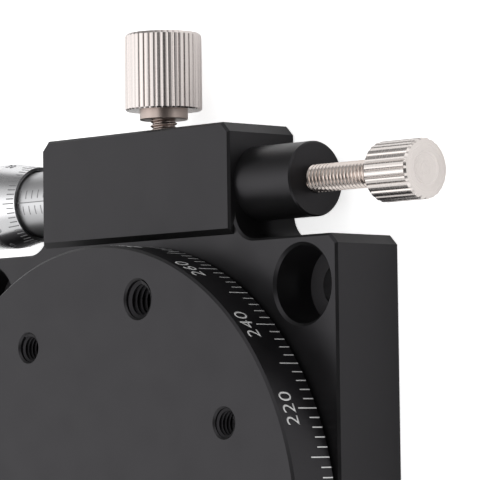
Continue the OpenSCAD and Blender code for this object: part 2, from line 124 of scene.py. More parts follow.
def pull(x, y, z):
    bpy.ops.mesh.extrude_region_move(TRANSFORM_OT_translate={"value": (x, y, z)})


def widen(ratio):
    bpy.ops.transform.resize(value=(ratio, ratio, 1), center_override=(0, 0, 0))


def settle(piece, turn=(0, 0, 0), place=(0, 0, 0)):
    pickOnly(piece)
    piece.rotation_euler = [math.radians(a) for a in turn]
    piece.location = place
    bpy.ops.object.transform_apply(location=True, rotation=True, scale=True)


def cleanUp(piece, merge=tiny):
    startEdit(piece)
    pickAll()
    bpy.ops.mesh.remove_doubles(threshold=merge)
    pickAll()
    bpy.ops.mesh.normals_make_consistent(inside=False)
    endEdit()


def applyModifier(piece, kind, **values):
    pickOnly(piece)
    bpy.ops.object.modifier_add(type=kind)
    modifier = piece.modifiers[-1]
    for key, value in values.items():
        setattr(modifier, key, value)
    bpy.ops.object.modifier_apply(modifier=modifier.name)


def repeatPiece(piece, count, across):
    applyModifier(piece, "ARRAY", count=count, use_relative_offset=False, use_constant_offset=True,
                  constant_offset_displace=(across, 0, 0))


def joinPieces(pieces, name):
    deselectAll()
    for piece in pieces:
        piece.select_set(True)
    bpy.context.view_layer.objects.active = pieces[0]
    bpy.ops.object.join()
    pieces[0].name = name
    return pieces[0]


def copyPiece(piece):
    pickOnly(piece)
    bpy.ops.object.duplicate(linked=False)
    return bpy.context.object


def smooth(piece, degrees):
    pickOnly(piece)
    bpy.ops.object.shade_smooth_by_angle(angle=math.radians(degrees))


def finishPiece(piece, body, finish, replaced=None):
    # gives a piece its finish, ties it to its body if it has one, and hides the part it replaces
    piece.data.materials.clear()
    piece.data.materials.append(finish)
    if body:
        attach(piece, body)
    if replaced:
        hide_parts(replaced)


# helpers for shader nodes
def feed(tree, socket, value):
    # a plain value is set on the socket, and another node's output is linked to it
    if isinstance(value, (int, float, tuple)):
        socket.default_value = value
    else:
        tree.links.new(value, socket)


def addMath(tree, operation, *values):
    node = tree.nodes.new("ShaderNodeMath")
    node.operation = operation
    for socket, value in zip(node.inputs, values):
        feed(tree, socket, value)
    return node.outputs["Value"]


def addVector(tree, operation, result, *values):
    node = tree.nodes.new("ShaderNodeVectorMath")
    node.operation = operation
    for socket, value in zip(node.inputs, values):
        feed(tree, socket, value)
    return node.outputs[result]


def addRamp(tree, value, start, end, low=0.0, high=1.0, curve="LINEAR"):
    ramp = tree.nodes.new("ShaderNodeMapRange")
    ramp.interpolation_type = curve
    labels = ("Value", "From Min", "From Max", "To Min", "To Max")
    for label, given in zip(labels, (value, start, end, low, high)):
        feed(tree, ramp.inputs[label], given)
    return ramp.outputs["Result"]


def addMix(tree, share, a, b):
    mix = tree.nodes.new("ShaderNodeMix")
    for label, value in (("Factor", share), ("A", a), ("B", b)):
        feed(tree, mix.inputs[label], value)
    return mix.outputs["Result"]


def addCoordinate(tree, label):
    return tree.nodes.new("ShaderNodeTexCoord").outputs[label]


def addSplit(tree, vector):
    split = tree.nodes.new("ShaderNodeSeparateXYZ")
    tree.links.new(vector, split.inputs["Vector"])
    return split.outputs


# camera, light and floor
cameraView = {
    "aim": (14.877 * mm, 30.027 * mm, 8.0 * mm),
    "distance": 362.974 * mm,
    "swing": 46.777,  # degrees from straight overhead towards the small knob
    "tip": -3.441,
    "roll": -0.77,
    "lens": 263.05,
    "sensor": 36,
    "clip": (0.01, 20),
}


def addCamera(view):
    swing, tip, roll = (math.radians(view[k]) for k in ("swing", "tip", "roll"))
    back = Vector((math.sin(swing) * math.cos(tip), math.sin(tip),
                   math.cos(swing) * math.cos(tip)))
    side = (-back).cross(Vector((0, 1, 0))).normalized()
    up = side.cross(-back)
    turnedSide = side * math.cos(roll) + up * math.sin(roll)
    turnedUp = up * math.cos(roll) - side * math.sin(roll)
    bpy.ops.object.camera_add()
    camera = bpy.context.object
    camera.name = "stageCamera"
    spin = Matrix((turnedSide, turnedUp, back)).transposed().to_4x4()
    place = Vector(view["aim"]) + back * view["distance"]
    camera.matrix_world = Matrix.Translation(place) @ spin
    camera.data.lens = view["lens"]
    camera.data.sensor_width = view["sensor"]
    camera.data.clip_start, camera.data.clip_end = view["clip"]
    bpy.context.scene.camera = camera


studio = {
    "roomLow": 0.05,  # what lights matt surfaces, from the side of the drive block
    "roomHigh": 1.65,  # and from the other side
    "roomSide": (-0.35, -0.85, 0.4),
    "roomWide": (-1.0, 1.0),
    "mirrorLow": 0.42,  # what mirrors show, towards the small knob
    "mirrorHigh": 0.84,  # and overhead and beyond
    "mirrorSide": (-0.45, -0.35, 0.82),
    "mirrorWide": (-0.15, 0.85),
    "stripLight": 1.5,  # a long lamp overhead, running along X
    "stripSide": (-0.5, 0.0, 0.87),
    "stripWide": (0.25, 0.7),
    "stripHalf": (0.15, 0.42),  # full as far as the first of these from its middle
    "darkSide": (0.727, -0.06, 0.684),  # a dark part of the room, seen only in reflections
    "darkWide": (0.86, 0.97),  # cosines where the dark part starts and is full
    "darkLevel": 0.06,
    "farSide": (-0.70, 0.70, 0.08),  # a dim corner behind the micrometer
    "farWide": (0.80, 0.96),
    "farLevel": 0.25,
    "boxLight": 1.5,  # two bright walls, one on each side of the dark part
    "boxSides": ((0.42, -0.72, 0.55), (0.42, 0.72, 0.55)),
    "boxWide": (0.86, 0.95),
    "keyPlace": (-0.45, -0.1, 0.75),
    "keyPower": 0.35,
    "fillPlace": (0.7, -0.6, 0.35),
    "fillPower": 0.05,
    "lampAim": (0, 0.01, 0),
    "lampSize": 0.5,
    "floorSize": 6,
    "floorDrop": 0.02 * mm,
    "floorRough": 0.9,
    "floorPale": 0.92,
    "floorLift": 0.75,  # the floor's own light, as the camera sees it
    "floorGlow": 0.20,  # and as mirrors see it
    "floorFar": (0.06, 0.20),  # mirrors see the floor dimmer between these distances
    "floorDim": 0.35,  # and this share of it beyond them
}


def addWorld(s):
    world = bpy.data.worlds.new("studioRoom")
    bpy.context.scene.world = world
    world.use_nodes = True
    tree = world.node_tree
    tree.nodes.clear()
    direction = addCoordinate(tree, "Generated")
    path = tree.nodes.new("ShaderNodeLightPath").outputs

    def patch(side, wide):
        # grows from 0 to 1 as the direction nears this side
        toward = tuple(Vector(side).normalized())
        return addRamp(tree, addVector(tree, "DOT_PRODUCT", "Value", direction, toward), *wide,
                       curve="SMOOTHSTEP")

    mirror = addMix(tree, patch(s["mirrorSide"], s["mirrorWide"]), s["mirrorLow"], s["mirrorHigh"])
    aside = addMath(tree, "ABSOLUTE", addSplit(tree, direction)["Y"])
    strip = addRamp(tree, aside, *s["stripHalf"], 1.0, 0.0, curve="SMOOTHSTEP")
    strip = addMath(tree, "MULTIPLY", strip, patch(s["stripSide"], s["stripWide"]))
    mirror = addMix(tree, strip, mirror, s["stripLight"])
    for side in s["boxSides"]:
        mirror = addMix(tree, patch(side, s["boxWide"]), mirror, s["boxLight"])
    mirror = addMix(tree, patch(s["farSide"], s["farWide"]), mirror, s["farLevel"])
    mirror = addMix(tree, patch(s["darkSide"], s["darkWide"]), mirror, s["darkLevel"])
    room = addMix(tree, patch(s["roomSide"], s["roomWide"]), s["roomLow"], s["roomHigh"])
    strength = addMix(tree, path["Is Glossy Ray"], room, mirror)
    strength = addMix(tree, path["Is Camera Ray"], strength, 1.0)
    background = tree.nodes.new("ShaderNodeBackground")
    background.inputs["Color"].default_value = (1, 1, 1, 1)
    tree.links.new(strength, background.inputs["Strength"])
    output = tree.nodes.new("ShaderNodeOutputWorld")
    tree.links.new(background.outputs["Background"], output.inputs["Surface"])


def addLamp(name, place, power, s):
    bpy.ops.object.light_add(type="AREA")
    lamp = bpy.context.object
    lamp.name = name
    lamp.location = place
    back = Vector(place) - Vector(s["lampAim"])
    lamp.rotation_euler = back.to_track_quat("Z", "Y").to_euler()
    lamp.data.shape = "SQUARE"
    lamp.data.size = s["lampSize"]
    lamp.data.energy = power


def addFloor(s):
    deselectAll()
    bpy.ops.mesh.primitive_plane_add(size=s["floorSize"], location=(0, 0, -s["floorDrop"]))
    floor = bpy.context.object
    floor.name = "studioFloor"
    finish = bpy.data.materials.new("paleFloor")
    finish.use_nodes = True
    tree = finish.node_tree
    shader = tree.nodes["Principled BSDF"]
    shader.inputs["Roughness"].default_value = s["floorRough"]
    shader.inputs["Specular IOR Level"].default_value = 0.0
    shader.inputs["Emission Color"].default_value = (1, 1, 1, 1)
    path = tree.nodes.new("ShaderNodeLightPath").outputs
    reach = addVector(tree, "LENGTH", "Value", addCoordinate(tree, "Object"))
    far = addRamp(tree, reach, *s["floorFar"], s["floorPale"], s["floorPale"] * s["floorDim"])
    pale = addMix(tree, path["Is Glossy Ray"], s["floorPale"], far)
    tree.links.new(pale, shader.inputs["Base Color"])
    seen = addMath(tree, "MAXIMUM", path["Is Camera Ray"], path["Is Transmission Ray"])
    lift = addMath(tree, "MULTIPLY", seen, s["floorLift"])
    glow = addMath(tree, "MULTIPLY_ADD", path["Is Glossy Ray"], s["floorGlow"], lift)
    tree.links.new(glow, shader.inputs["Emission Strength"])
    floor.data.materials.append(finish)


addCamera(cameraView)
addWorld(studio)
addLamp("keyLamp", studio["keyPlace"], studio["keyPower"], studio)
addLamp("fillLamp", studio["fillPlace"], studio["fillPower"], studio)
addFloor(studio)
bpy.context.scene.view_settings.view_transform = "Standard"
print("camera, light and floor ready")


# shader groups that several finishes share
def newGroup(name, inputs, outputs):
    group = bpy.data.node_groups.new(name, "ShaderNodeTree")
    for label, kind, value in inputs:
        socket = group.interface.new_socket(name=label, in_out="INPUT", socket_type=kind)
        if value is not None:
            socket.default_value = value
    for label, kind in outputs:
        group.interface.new_socket(name=label, in_out="OUTPUT", socket_type=kind)
    return group, group.nodes.new("NodeGroupInput"), group.nodes.new("NodeGroupOutput")


def addNoise(tree, vector, size, detail):
    noise = tree.nodes.new("ShaderNodeTexNoise")
    noise.inputs["Detail"].default_value = detail
    tree.links.new(vector, noise.inputs["Vector"])
    tree.links.new(size, noise.inputs["Scale"])
    return noise


noiseSpread = (0.3, 0.7)  # where nearly all values of a noise lie


def buildGrainGroup():
    # cloudy tone and fine blasted grain: one value for tone, one for roughness, one height
    group, given, out = newGroup(
        "blastedGrain",
        (("Cloud Size", "NodeSocketFloat", 300.0), ("Grain Size", "NodeSocketFloat", 6000.0),
         ("Tone Low", "NodeSocketFloat", 0.9), ("Tone High", "NodeSocketFloat", 1.1),
         ("Rough Low", "NodeSocketFloat", 0.35), ("Rough High", "NodeSocketFloat", 0.45)),
        (("Tone", "NodeSocketFloat"), ("Roughness", "NodeSocketFloat"),
         ("Height", "NodeSocketFloat")))
    place = addCoordinate(group, "Object")
    cloud = addNoise(group, place, given.outputs["Cloud Size"], 3)
    cloud.inputs["Roughness"].default_value = 0.55
    grain = addNoise(group, place, given.outputs["Grain Size"], 2)
    for label, kind in (("Tone", "Tone"), ("Roughness", "Rough")):
        value = addRamp(group, cloud.outputs["Fac"], *noiseSpread,
                        given.outputs[kind + " Low"], given.outputs[kind + " High"])
        group.links.new(value, out.inputs[label])
    group.links.new(grain.outputs["Fac"], out.inputs["Height"])
    return group


def buildEdgeGroup():
    # picks the faces that slope between the top and a side, the chamfered edges and hole mouths,
    # where a painted highlight goes
    group, given, out = newGroup(
        "paintedEdgeGlint", (("Strength", "NodeSocketFloat", 1.0),), (("Edge", "NodeSocketFloat"),))
    lean = addMath(group, "ABSOLUTE", addSplit(group, addCoordinate(group, "Normal"))["Z"])
    off = addMath(group, "ABSOLUTE", addMath(group, "SUBTRACT", lean, 0.7071))  # from 45 degrees
    near = addMath(group, "SUBTRACT", 1.0, addMath(group, "MULTIPLY", off, 6.0))  # gone 14 away
    near = addMath(group, "MAXIMUM", near, 0.0)
    edge = addMath(group, "MULTIPLY", near, given.outputs["Strength"])
    group.links.new(edge, out.inputs["Edge"])
    return group


def buildLatheGroup():
    # fine rings left by turning, round an axis that a Mapping node brings onto X
    group, given, out = newGroup(
        "latheMarks",
        (("Vector", "NodeSocketVector", None), ("Ring Size", "NodeSocketFloat", 9000.0),
         ("Rough Low", "NodeSocketFloat", 0.2), ("Rough High", "NodeSocketFloat", 0.35)),
        (("Roughness", "NodeSocketFloat"), ("Height", "NodeSocketFloat"),
         ("Tone", "NodeSocketFloat")))
    split = addSplit(group, given.outputs["Vector"])
    flat = group.nodes.new("ShaderNodeCombineXYZ")
    line = group.nodes.new("ShaderNodeCombineXYZ")
    for socket, value in ((flat.inputs["Y"], split["Y"]), (flat.inputs["Z"], split["Z"]),
                          (line.inputs["X"], split["X"])):
        group.links.new(value, socket)
    far = addVector(group, "LENGTH", "Value", flat.outputs["Vector"])
    group.links.new(far, line.inputs["Y"])
    rings = addNoise(group, line.outputs["Vector"], given.outputs["Ring Size"], 3)
    rings.noise_dimensions = "2D"
    marks = rings.outputs["Fac"]
    rough = addRamp(group, marks, *noiseSpread, given.outputs["Rough Low"],
                    given.outputs["Rough High"])
    group.links.new(rough, out.inputs["Roughness"])
    group.links.new(marks, out.inputs["Height"])
    tone = addRamp(group, marks, 0.0, 1.0, 0.96, 1.04)  # within 4% of the colour
    group.links.new(tone, out.inputs["Tone"])
    return group


grainGroup = buildGrainGroup()
edgeGlintGroup = buildEdgeGroup()
latheGroup = buildLatheGroup()


# finishes
def newFinish(name):
    finish = bpy.data.materials.new(name)
    finish.use_nodes = True
    return finish, finish.node_tree, finish.node_tree.nodes["Principled BSDF"]


def addGroup(tree, group, **values):
    node = tree.nodes.new("ShaderNodeGroup")
    node.node_tree = group
    for label, value in values.items():
        node.inputs[label.replace("_", " ")].default_value = value
    return node


def addBump(tree, shader, height, strength, distance):
    bump = tree.nodes.new("ShaderNodeBump")
    bump.inputs["Strength"].default_value = strength
    bump.inputs["Distance"].default_value = distance
    tree.links.new(height, bump.inputs["Height"])
    tree.links.new(bump.outputs["Normal"], shader.inputs["Normal"])


def scaleColour(tree, colour, tone):
    mix = tree.nodes.new("ShaderNodeVectorMath")
    mix.operation = "SCALE"
    feed(tree, mix.inputs[0], colour)
    tree.links.new(tone, mix.inputs["Scale"])
    return mix.outputs["Vector"]


anodising = {
    "tint": (1.0, 0.965, 1.04, 1),  # a trace of violet in the gloss
    "cloud": 260.0,
    "grain": 7000.0,
    "tone": (0.86, 1.12),
    # strength of the painted highlight on the chamfers
    "edge": 0.8,
    "bump": 0.08,
    "bumpHeight": 0.004 * mm,
    "boreMiddle": 25 * mm,  # the corner counterbores, whose milled floors are painted lighter as a highlight
    "boreReach": 4 * mm,
    "boreFloor": 3.8 * mm,
    "floorReach": 0.06 * mm,
    "rimEdge": 9.36 * mm,  # the rim's broken lower edge, painted lighter as the highlight it catches
    "rimReach": 0.07 * mm,
}


def anodisedFinish(name, colour, edgeGlintColour, rough, gloss, paintedBoreLight=1, paintedRimGlint=1):
    s = anodising
    finish, tree, shader = newFinish(name)
    shader.inputs["Specular IOR Level"].default_value = gloss
    shader.inputs["Specular Tint"].default_value = s["tint"]
    grain = addGroup(tree, grainGroup, Cloud_Size=s["cloud"], Grain_Size=s["grain"],
                     Tone_Low=s["tone"][0], Tone_High=s["tone"][1],
                     Rough_Low=rough[0], Rough_High=rough[1])
    edge = addGroup(tree, edgeGlintGroup, Strength=s["edge"])
    # painted highlight: the chamfers take the lighter edge colour
    mix = tree.nodes.new("ShaderNodeMix")
    mix.data_type = "RGBA"
    mix.inputs["A"].default_value = colour + (1,)
    mix.inputs["B"].default_value = edgeGlintColour + (1,)
    tree.links.new(edge.outputs["Edge"], mix.inputs["Factor"])
    tone = grain.outputs["Tone"]
    # painted highlight: the counterbore floors are made lighter
    if paintedBoreLight != 1:
        fold = addVector(tree, "ABSOLUTE", "Vector", addCoordinate(tree, "Object"))
        split = addSplit(tree, fold)
        offX = addMath(tree, "COMPARE", split["X"], s["boreMiddle"], s["boreReach"])
        offY = addMath(tree, "COMPARE", split["Y"], s["boreMiddle"], s["boreReach"])
        level = addMath(tree, "COMPARE", split["Z"], s["boreFloor"], s["floorReach"])
        floor = addMath(tree, "MULTIPLY", addMath(tree, "MULTIPLY", offX, offY), level)
        lift = addMath(tree, "MULTIPLY_ADD", floor, paintedBoreLight - 1, 1.0)
        tone = addMath(tree, "MULTIPLY", tone, lift)
    # painted highlight along the rim's lower edge
    if paintedRimGlint != 1:
        height = addSplit(tree, addCoordinate(tree, "Object"))["Z"]
        level = addMath(tree, "COMPARE", height, s["rimEdge"], s["rimReach"])
        lift = addMath(tree, "MULTIPLY_ADD", level, paintedRimGlint - 1, 1.0)
        tone = addMath(tree, "MULTIPLY", tone, lift)
    colour = scaleColour(tree, mix.outputs["Result"], tone)
    tree.links.new(colour, shader.inputs["Base Color"])
    tree.links.new(grain.outputs["Roughness"], shader.inputs["Roughness"])
    addBump(tree, shader, grain.outputs["Height"], s["bump"], s["bumpHeight"])
    return finish


turning = {
    "ringSize": 7000.0,
    "bumpHeight": 0.004 * mm,
    "endFacing": (0.3, 0.8),  # cosines between which a face begins to count as an end
}


def turnedMetal(name, colour, rough, centre=(0, 0, 0), turn=(0, 0, 0), bump=0, paintedEndShade=1):
    s = turning
    finish, tree, shader = newFinish(name)
    mapping = tree.nodes.new("ShaderNodeMapping")
    mapping.vector_type = "TEXTURE"
    mapping.inputs["Location"].default_value = centre
    mapping.inputs["Rotation"].default_value = [math.radians(a) for a in turn]
    tree.links.new(addCoordinate(tree, "Object"), mapping.inputs["Vector"])
    marks = addGroup(tree, latheGroup, Ring_Size=s["ringSize"],
                     Rough_Low=rough[0], Rough_High=rough[1])
    tree.links.new(mapping.outputs["Vector"], marks.inputs["Vector"])
    tone = marks.outputs["Tone"]
    if paintedEndShade != 1:
        # painted shade: the turned end that faces the drive block is painted darker, as if in the
        # block's shadow
        facing = addSplit(tree, addCoordinate(tree, "Normal"))["X"]
        ramp = addRamp(tree, facing, *s["endFacing"], 1.0, paintedEndShade)
        tone = addMath(tree, "MULTIPLY", tone, ramp)
    tree.links.new(scaleColour(tree, colour, tone), shader.inputs["Base Color"])
    tree.links.new(marks.outputs["Roughness"], shader.inputs["Roughness"])
    shader.inputs["Metallic"].default_value = 1.0
    if bump:
        addBump(tree, shader, marks.outputs["Height"], bump, s["bumpHeight"])
    return finish


paint = {
    "cloud": 2500.0,
    "grain": 9000.0,
    "tone": (0.88, 1.06),
    "roughSpread": 0.15,
    "bump": 0.1,
    "bumpHeight": 0.003 * mm,
}


def paintFinish(name, colour, rough):
    s = paint
    finish, tree, shader = newFinish(name)
    grain = addGroup(tree, grainGroup, Cloud_Size=s["cloud"], Grain_Size=s["grain"],
                     Tone_Low=s["tone"][0], Tone_High=s["tone"][1],
                     Rough_Low=rough, Rough_High=rough + s["roughSpread"])
    colour = scaleColour(tree, colour, grain.outputs["Tone"])
    tree.links.new(colour, shader.inputs["Base Color"])
    tree.links.new(grain.outputs["Roughness"], shader.inputs["Roughness"])
    addBump(tree, shader, grain.outputs["Height"], s["bump"], s["bumpHeight"])
    return finish


# what the lathe marks run round: a point on the axis, and the turn that lays X along it
alongDrive = {"centre": (0, driveY, driveZ)}
alongLock = {"centre": (0, 0, driveZ), "turn": (0, 0, 90)}
alongTable = {"turn": (0, -90, 0)}

blackAnodised = anodisedFinish(
    "blackAnodised", colour=(0.0056, 0.0054, 0.0057), edgeGlintColour=(0.007, 0.007, 0.007),
    rough=(0.30, 0.40), gloss=0.30, paintedBoreLight=9)
tableAnodised = anodisedFinish(
    "tableAnodised", colour=(0.0048, 0.0045, 0.0050), edgeGlintColour=(0.008, 0.008, 0.008),
    rough=(0.36, 0.44), gloss=0.325, paintedRimGlint=10)
blackScrew = anodisedFinish(
    "blackScrew", colour=(0.014, 0.013, 0.013), edgeGlintColour=(0.04, 0.04, 0.04),
    rough=(0.30, 0.40), gloss=0.5)
satinChrome = turnedMetal("satinChrome", (0.73, 0.73, 0.74), (0.22, 0.25), paintedEndShade=0.3,
                          **alongDrive)
sleeveChrome = turnedMetal("sleeveChrome", (0.54, 0.54, 0.55), (0.38, 0.42), **alongDrive)
knobNickel = turnedMetal("knobNickel", (0.645, 0.60, 0.575), (0.25, 0.28), **alongDrive)
screwNickel = turnedMetal("screwNickel", (0.66, 0.59, 0.55), (0.13, 0.15), **alongDrive)
lockNickel = turnedMetal("lockNickel", (0.635, 0.58, 0.56), (0.21, 0.24), **alongLock)
# darker nickel for the lock's collar and screw: painted shade from the drive block beside them,
# and rougher
shadedLockNickel = turnedMetal("shadedLockNickel", (0.42, 0.35, 0.32), (0.30, 0.34), **alongLock)
groundSteel = turnedMetal("groundSteel", (0.60, 0.60, 0.61), (0.25, 0.38), bump=0.03, **alongTable)
hardSteel = turnedMetal("hardSteel", (0.70, 0.70, 0.71), (0.12, 0.22), bump=0.03, **alongTable)
screwSteel = turnedMetal("screwSteel", (0.55, 0.55, 0.56), (0.22, 0.34), bump=0.03, **alongTable)
plainBrass = turnedMetal("plainBrass", (0.80, 0.60, 0.28), (0.25, 0.38), bump=0.03, **alongDrive)
scaleWhite = paintFinish("scaleWhite", (0.72, 0.72, 0.72), 0.5)
scaleBlack = paintFinish("scaleBlack", (0.20, 0.20, 0.205), 0.45)

finishOfSlot = {
    "black_anodised": blackAnodised,
    "table_anodised": tableAnodised,
    "steel": groundSteel,
    "hard_steel": hardSteel,
    "screw_steel": screwSteel,
    "black_screw": blackScrew,
    "brass": plainBrass,
    "nickel": knobNickel,
    "satin_chrome": satinChrome,
}
for name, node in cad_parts.items():
    for slot in node.material_slots:
        slotName = slot.material.name.split(".")[0]
        slot.material = sleeveChrome if name == "mic_sleeve" else finishOfSlot[slotName]
print("finishes ready")


# scale round the table's rim
rimScale = {
    "radius": 30 * mm,
    "foot": 9.45 * mm,  # height where the lines start
    "longLine": 2.55 * mm,
    "shortLine": 1.40 * mm,
    "lineWidth": 0.13 * mm,
    "step": 2,  # degrees
    "perLong": 5,  # every fifth line is a long one
    "labelStep": 20,
    "labelHeight": 1.65 * mm,
    "labelWidth": 3.68 * mm,  # of three numerals
    "labelGap": 0.47 * mm,
}
lettering = {
    "curveSteps": 4,
    "thinner": -0.008,
    "spacing": 1.08,
}


def addLine(width, length):
    # one painted line, standing along Z and facing -Y, with rounded ends
    deselectAll()
    bpy.ops.mesh.primitive_plane_add(size=1)
    line = bpy.context.object
    line.scale = (width, length, 1)
    settle(line)
    startEdit(line)
    pickAll()
    bpy.ops.mesh.bevel(offset=width * 0.3, segments=2, affect="VERTICES")
    pickAll()
    pull(0, 0, -lineThick)
    endEdit()
    settle(line, (90, 0, 0))
    cleanUp(line)
    return line


def addLabel(words, height, width):
    # numerals standing in the XZ plane, facing -Y, centred on the origin
    deselectAll()
    bpy.ops.object.text_add()
    label = bpy.context.object
    label.data.body = words
    label.data.align_x = "CENTER"
    label.data.align_y = "CENTER"
    label.data.size = 1
    label.data.resolution_u = lettering["curveSteps"]
    label.data.offset = lettering["thinner"]
    label.data.space_character = lettering["spacing"]
    pickOnly(label)
    bpy.ops.object.convert(target="MESH")
    label = bpy.context.object
    startEdit(label)
    pickAll()
    bpy.ops.mesh.remove_doubles(threshold=1e-5)
    pickAll()
    pull(0, 0, -1)
    endEdit()
    wide, high, deep = label.dimensions
    label.scale = (width / wide, height / high, lineThick / deep)
    pickOnly(label)
    bpy.ops.object.origin_set(type="GEOMETRY_ORIGIN", center="BOUNDS")
    settle(label, (90, 0, 0))
    cleanUp(label)
    return label


def buildRimScale(s):
    # laid out straight along X first, then bent round the rim
    rise = math.radians(s["step"]) * s["radius"]
    short = addLine(s["lineWidth"], s["shortLine"])
    settle(short, place=(rise, 0, s["foot"] + s["shortLine"] / 2))
    repeatPiece(short, s["perLong"] - 1, rise)
    long = addLine(s["lineWidth"], s["longLine"])
    settle(long, place=(0, 0, s["foot"] + s["longLine"] / 2))
    run = joinPieces([long, short], "rimScale")
    repeatPiece(run, 360 // (s["step"] * s["perLong"]), s["perLong"] * rise)
    pieces = [run]
    labelZ = s["foot"] + s["longLine"] + s["labelGap"] + s["labelHeight"] / 2
    for value in range(0, 360, s["labelStep"]):
        words = str(value)
        label = addLabel(words, s["labelHeight"], s["labelWidth"] * len(words) / 3)
        settle(label, place=(value / s["step"] * rise, 0, labelZ))
        pieces.append(label)
    strip = joinPieces(pieces, "rimScale")
    pickOnly(strip)
    bpy.ops.object.origin_set(type="ORIGIN_GEOMETRY", center="BOUNDS")
    middle = strip.location.copy()
    strip.location = (0, 0, middle.z)
    applyModifier(strip, "SIMPLE_DEFORM", deform_method="BEND", deform_axis="Z",
                  angle=strip.dimensions.x / s["radius"])
    # the strip's middle now lies at -Y, so it is turned until 0 is where the table has it
    turn = tableTurn - 180 + math.degrees(middle.x / s["radius"])
    pickOnly(strip)
    strip.location = (0, -(s["radius"] + lineProud - lineThick / 2), middle.z)
    bpy.ops.object.transform_apply(location=True, rotation=True, scale=True)
    settle(strip, turn=(0, 0, turn))
    cleanUp(strip)
    finishPiece(strip, "table", scaleWhite)


buildRimScale(rimScale)
print("rim scale ready")


# threads, wound as ridges round the screws and in the tapped holes
screwThread = {
    "pitch": 0.5 * mm,
    "depth": 0.26 * mm,
    "flat": 0.14,  # width of crest and root, as a share of the pitch
    "steps": 24,
}


def startProfile(x, z):
    # one point at x and z, ready to be pulled out into a profile
    deselectAll()
    bpy.ops.mesh.primitive_plane_add(size=1)
    profile = bpy.context.object
    startEdit(profile)
    pickVerts(lambda co: not (co.x > 0 and co.y > 0))
    bpy.ops.mesh.delete(type="VERT")
    pickAll()
    bpy.ops.transform.translate(value=(x - 0.5, -0.5, z))
    return profile


def windUp(piece, pitch, turns, steps, **values):
    applyModifier(piece, "SCREW", angle=2 * math.pi, screw_offset=pitch, steps=steps,
                  render_steps=steps, iterations=turns, **values)


def cutFlat(piece, height, keepAbove):
    startEdit(piece)
    pickAll()
    bpy.ops.mesh.bisect(plane_co=(0, 0, height), plane_no=(0, 0, 1), use_fill=True,
                        clear_inner=keepAbove, clear_outer=not keepAbove)
    endEdit()


def addThreadedRod(name, radius, length, s):
    pitch, depth = s["pitch"], s["depth"]
    rod = startProfile(radius - depth, 0)
    flat = s["flat"] * pitch
    slope = pitch / 2 - flat
    for along, up in ((0, flat), (depth, slope), (0, flat), (-depth, slope)):
        pull(along, 0, up)
    endEdit()
    windUp(rod, pitch, math.ceil(length / pitch) + 2, s["steps"], use_merge_vertices=True,
           merge_threshold=1e-7)
    settle(rod, place=(0, 0, -pitch))
    cutFlat(rod, 0, True)
    cutFlat(rod, length, False)
    cleanUp(rod, 1e-7)
    rod.name = name
    smooth(rod, 30)
    return rod


low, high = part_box("preload_screw")
preloadScrew = addThreadedRod("preloadScrew", (high.y - low.y) / 2, high.x - low.x, screwThread)
settle(preloadScrew, (0, 90, 0), (low.x, driveY, driveZ))
finishPiece(preloadScrew, "preload_turner", screwNickel, "preload_screw")

low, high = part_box("lock_screw")
lockScrew = addThreadedRod("lockScrew", (high.x - low.x) / 2, high.y - low.y, screwThread)
settle(lockScrew, (-90, 0, 0), (0, low.y, driveZ))
# the lock screw takes the darker nickel, painted shade
finishPiece(lockScrew, "lock_turner", shadedLockNickel, "lock_screw")
print("screws ready")

tapThreads = {
    # radius of the ring of holes, radius of a hole, pitch, angle of the first hole
    "sizes": ((25 * mm, 2.0 * mm, 0.7 * mm, 0), (22.5 * mm, 1.5 * mm, 0.5 * mm, 45)),
    "top": 14.72 * mm,
    "bottom": 9.0 * mm,
    "depth": 0.52,  # these three are shares of the pitch
    "flank": 0.31,
    "crest": 0.18,
    "sunk": 0.02 * mm,  # into the hole's wall
    "steps": 28,
}


def addTapRidge(radius, pitch, turns, s):
    # a ridge wound along the wall of a hole
    depth, flank, crest = (s[label] * pitch for label in ("depth", "flank", "crest"))
    ridge = startProfile(radius + s["sunk"], -flank - crest / 2)
    for along, up in ((-depth, flank), (0, crest), (depth, flank)):
        pull(along, 0, up)
    pickAll()
    bpy.ops.mesh.edge_face_add()
    bpy.ops.mesh.delete(type="ONLY_FACE")
    endEdit()
    windUp(ridge, pitch, turns, s["steps"])
    startEdit(ridge)
    pickAll()
    bpy.ops.mesh.fill_holes(sides=5)
    endEdit()
    cleanUp(ridge, 1e-7)
    smooth(ridge, 30)
    return ridge


def buildTapThreads(s):
    ridges = []
    for ring, radius, pitch, start in s["sizes"]:
        turns = int((s["top"] - s["bottom"]) / pitch)
        first = addTapRidge(radius, pitch, turns, s)
        settle(first, place=(ring, 0, s["top"] - turns * pitch))
        for quarter in range(4):
            ridge = copyPiece(first) if quarter else first
            ridges.append((ridge, start + 90 * quarter))
    for ridge, angle in ridges:
        settle(ridge, (0, 0, angle))
    joined = joinPieces([ridge for ridge, _ in ridges], "tapThreads")
    settle(joined, (0, 0, tableTurn))
    finishPiece(joined, "table", tableAnodised)


buildTapThreads(tapThreads)
print("tapped holes ready")


# fluted knobs
lockKnob = {
    "flutes": 40,
    "depth": 0.09 * mm,
    "rim": 0.28 * mm,  # chamfer at the outer end
    "heel": 0.15 * mm,  # and at the inner one
    "dimple": 0.10 * mm,
    "collar": 1.0 * mm,
    "collarRadius": 2.6 * mm,
    "collarEdge": 0.08 * mm,
}
preloadKnob = {
    "flutes": 24,
    "depth": 0.14 * mm,
    "rim": 0.22 * mm,
    "heel": 0.12 * mm,
    "dimple": 0.12 * mm,
}
flute = (1.0, 0.25, 0, 0, 0, 0.25)  # its depth at each of six points round
dish = ((0.62, 0), (0.90, 0.35), (0.72, 0.5), (0.45, 0.15))  # rings' ratios and shares of the drop


